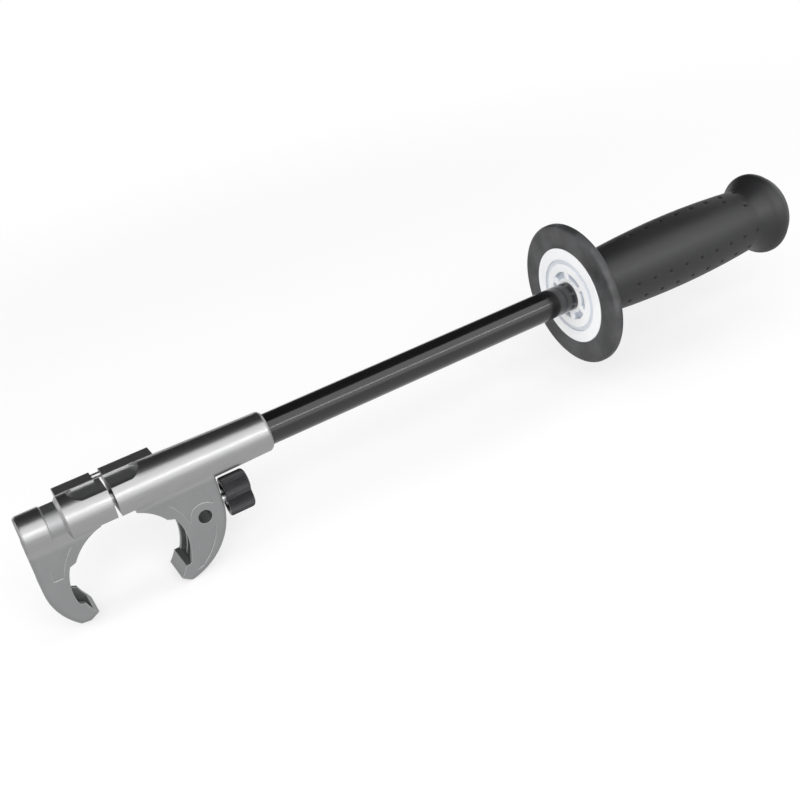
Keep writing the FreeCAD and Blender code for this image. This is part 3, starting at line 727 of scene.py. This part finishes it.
def plane(name, corners, material):
    """A flat piece of the stage."""
    data = bpy.data.meshes.new(name)
    mesh = bmesh.new()
    mesh.faces.new([mesh.verts.new(corner) for corner in corners])
    mesh.to_mesh(data)
    mesh.free()
    data.materials.append(material)
    made = bpy.data.objects.new(name, data)
    bpy.context.scene.collection.objects.link(made)
    return made


def bare_material(name):
    """A material without any node, and its tree."""
    material = bpy.data.materials.new(name)
    material.use_nodes = True
    material.node_tree.nodes.clear()
    return material, material.node_tree


def show_surface(tree, surface, output_kind="ShaderNodeOutputMaterial"):
    """Ends a tree in the output of a material or a world."""
    output = tree.nodes.new(output_kind)
    tree.links.new(surface, output.inputs["Surface"])


def seen_itself(tree):
    """1 where a thing itself is seen, straight, mirrored or through glass, and 0 for its light."""
    path = tree.nodes.new("ShaderNodeLightPath")
    seen = math_node(tree, "MAXIMUM", path.outputs["Is Camera Ray"], path.outputs["Is Glossy Ray"])
    return math_node(tree, "MAXIMUM", seen, path.outputs["Is Transmission Ray"])


def floor_finish():
    """Pale and matt near the object, so that it keeps the shadow, and white further off."""
    material, tree = bare_material("pale_floor")
    matt = add_node(tree, "ShaderNodeBsdfDiffuse", Color=FLOOR_COLOUR)
    white = add_node(tree, "ShaderNodeEmission", Color=WHITE, Strength=1.0)
    at = tree.nodes.new("ShaderNodeTexCoord").outputs["Object"]
    away = add_node(tree, "ShaderNodeVectorMath", {"operation": "LENGTH"})
    tree.links.new(at, away.inputs[0])
    far = ramp_between(tree, away.outputs["Value"], *FLOOR_WHITENS)
    whiteness = value_between(tree, far, FLOOR_WHITE_NEAR, 1.0)
    mix = tree.nodes.new("ShaderNodeMixShader")
    tree.links.new(math_node(tree, "MULTIPLY", whiteness, seen_itself(tree)), mix.inputs["Fac"])
    tree.links.new(matt.outputs[0], mix.inputs[1])
    tree.links.new(white.outputs[0], mix.inputs[2])
    show_surface(tree, mix.outputs[0])
    return material


def card_finish(name, painted_shade):
    """An even glow, dark or bright."""
    material, tree = bare_material(name)
    glow = add_node(tree, "ShaderNodeEmission", Color=WHITE, Strength=painted_shade)
    show_surface(tree, glow.outputs[0])
    return material


floor = plane("pale_floor",
              [(-FLOOR_HALF, -FLOOR_HALF, 0), (FLOOR_HALF, -FLOOR_HALF, 0),
               (FLOOR_HALF, FLOOR_HALF, 0), (-FLOOR_HALF, FLOOR_HALF, 0)], floor_finish())
floor.location = (middle.x, middle.y, floor_height)


def card_between(name, front, back, painted_shade):
    """A card of the studio that only shows in reflections.

    It runs from a front edge to a back edge, each given as a place along Y and a height.
    """
    corners = [(CARD_LEFT, *front), (CARD_RIGHT, *front), (CARD_RIGHT, *back), (CARD_LEFT, *back)]
    card = plane(name, corners, card_finish(name, painted_shade))
    card.visible_camera = False
    card.visible_diffuse = False
    card.visible_shadow = False
    card.visible_transmission = False


card_between("dark_card_above", (-0.35, 1.3), (1.9, 1.3), 0.03)
card_between("dark_card_behind", (1.9, 1.3), (1.9, 0.3), 0.05)
card_between("bright_card_front", (-1.5, 0.12), (-1.5, 1.7), 1.25)
card_between("bright_card_over_the_front", (-1.5, 1.7), (-0.4, 2.2), 1.25)
card_between("bright_strip", (-1.45, 0.66), (-1.45, 0.90), 2.2)
card_between("narrow_bright_strip", (-1.44, 0.76), (-1.44, 0.80), 9.0)
low_card_height = floor_height + CARD_LIFT
card_between("grey_card_low", (-0.9, low_card_height), (0.9, low_card_height), 0.6)


def aim(made, place, target, roll=0.0):
    """Puts an object at a place, looking at a target, turned about its line of sight."""
    forward = (Vector(target) - Vector(place)).normalized()
    right = forward.cross(Vector((0, 0, 1))).normalized()
    up = right.cross(forward)
    turn = Matrix.Rotation(roll, 3, forward)
    basis = Matrix((turn @ right, turn @ up, -forward)).transposed().to_4x4()
    made.matrix_world = Matrix.Translation(Vector(place)) @ basis


def soft_lamp(name, place, size, power):
    """A lamp aimed at the object, which shows in no reflection."""
    data = bpy.data.lights.new(name, "AREA")
    data.shape = "RECTANGLE"
    data.size, data.size_y = size
    data.energy = power
    lamp = bpy.data.objects.new(name, data)
    bpy.context.scene.collection.objects.link(lamp)
    lamp.visible_glossy = False
    aim(lamp, place, middle)


soft_lamp("front_softbox", (-0.1, -1.25, 0.85), (1.7, 1.0), 22.0)
soft_lamp("left_softbox", (-1.5, -0.2, 0.9), (0.9, 0.9), 8.0)
soft_lamp("right_softbox", (1.9, -0.3, 0.9), (0.9, 0.9), 8.0)

world = bpy.data.worlds.new("white_room")
bpy.context.scene.world = world
world.use_nodes = True
world_tree = world.node_tree
world_tree.nodes.clear()
strength = value_between(world_tree, seen_itself(world_tree), WORLD_LIGHT, 1.0)
background = add_node(world_tree, "ShaderNodeBackground", Color=WHITE)
world_tree.links.new(strength, background.inputs["Strength"])
show_surface(world_tree, background.outputs[0], "ShaderNodeOutputWorld")

# The camera of the photo, its lens and sensor in millimetres and its place in metres
CAMERA_LENS = 50.0
CAMERA_SENSOR = 36.0
CAMERA_CLIP = 0.01
CAMERA_PLACE = (-0.04667, -0.47043, 0.27060)
CAMERA_TARGET = (0.15519, 0.0, 0.01634)
CAMERA_ROLL = math.radians(13.586)
camera_data = bpy.data.cameras.new("photo_camera")
camera_data.lens = CAMERA_LENS
camera_data.sensor_width = CAMERA_SENSOR
camera_data.clip_start = CAMERA_CLIP
camera = bpy.data.objects.new("photo_camera", camera_data)
bpy.context.scene.collection.objects.link(camera)
aim(camera, CAMERA_PLACE, CAMERA_TARGET, CAMERA_ROLL)
bpy.context.scene.camera = camera
bpy.context.scene.view_settings.view_transform = "Standard"
